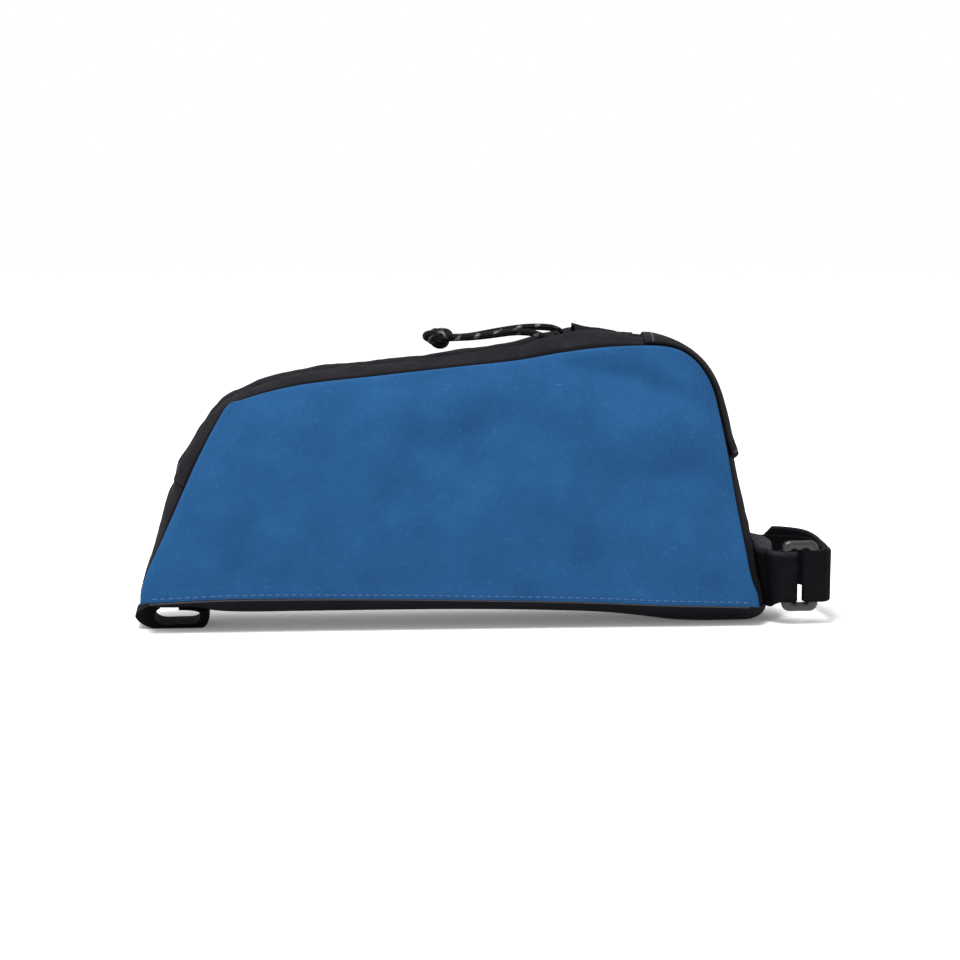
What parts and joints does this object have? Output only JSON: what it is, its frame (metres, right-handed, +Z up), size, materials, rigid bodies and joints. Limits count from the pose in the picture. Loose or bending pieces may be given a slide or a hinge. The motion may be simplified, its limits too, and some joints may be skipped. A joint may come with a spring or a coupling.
{
  "type": "bicycle top tube bag",
  "caption": "Wedge-shaped cloth bag for a bicycle frame: zip along its top with a corded pull, webbing loop under its tail, and a strap with a ring at its front.",
  "frame": {"origin": "under the middle of the bag and its straps, on the surface that it rests on", "axes": "+X along the bag to the front strap, +Y across the bag to the side without the ring, +Z up"},
  "size_m": [0.2604, 0.0572, 0.1118],
  "materials": {
    "blue_canvas": "plain weave, matt",
    "dark_cloth": "coated cloth, satin",
    "base_cloth": "coated cloth, matt",
    "zip_cloth": "tape",
    "zip_teeth": "coil teeth",
    "webbing": "woven webbing, hook-and-loop on the long strap",
    "moulded_plastic": "moulded, satin",
    "cord": "braided, with light reflective flecks"
  },
  "bodies": {
    "root": {"side_panel_near": "blue_canvas", "side_panel_far": "blue_canvas", "tail_gusset": "dark_cloth", "zip_strip_near": "dark_cloth", "zip_strip_far": "dark_cloth", "front_gusset": "dark_cloth", "front_overlay": "dark_cloth", "zip_tape": "zip_cloth", "zip_coil": "zip_teeth", "zip_slider": "moulded_plastic", "zip_garage": "dark_cloth", "base_panel": "base_cloth", "head_strap": "webbing", "ring_tab": "webbing", "strap_anchor": "webbing", "strap_ring": "moulded_plastic", "tail_loop": "webbing", "pull_cord_low": "cord", "pull_cord_high": "cord", "pull_knot": "cord"}
  },
  "joints": []
}
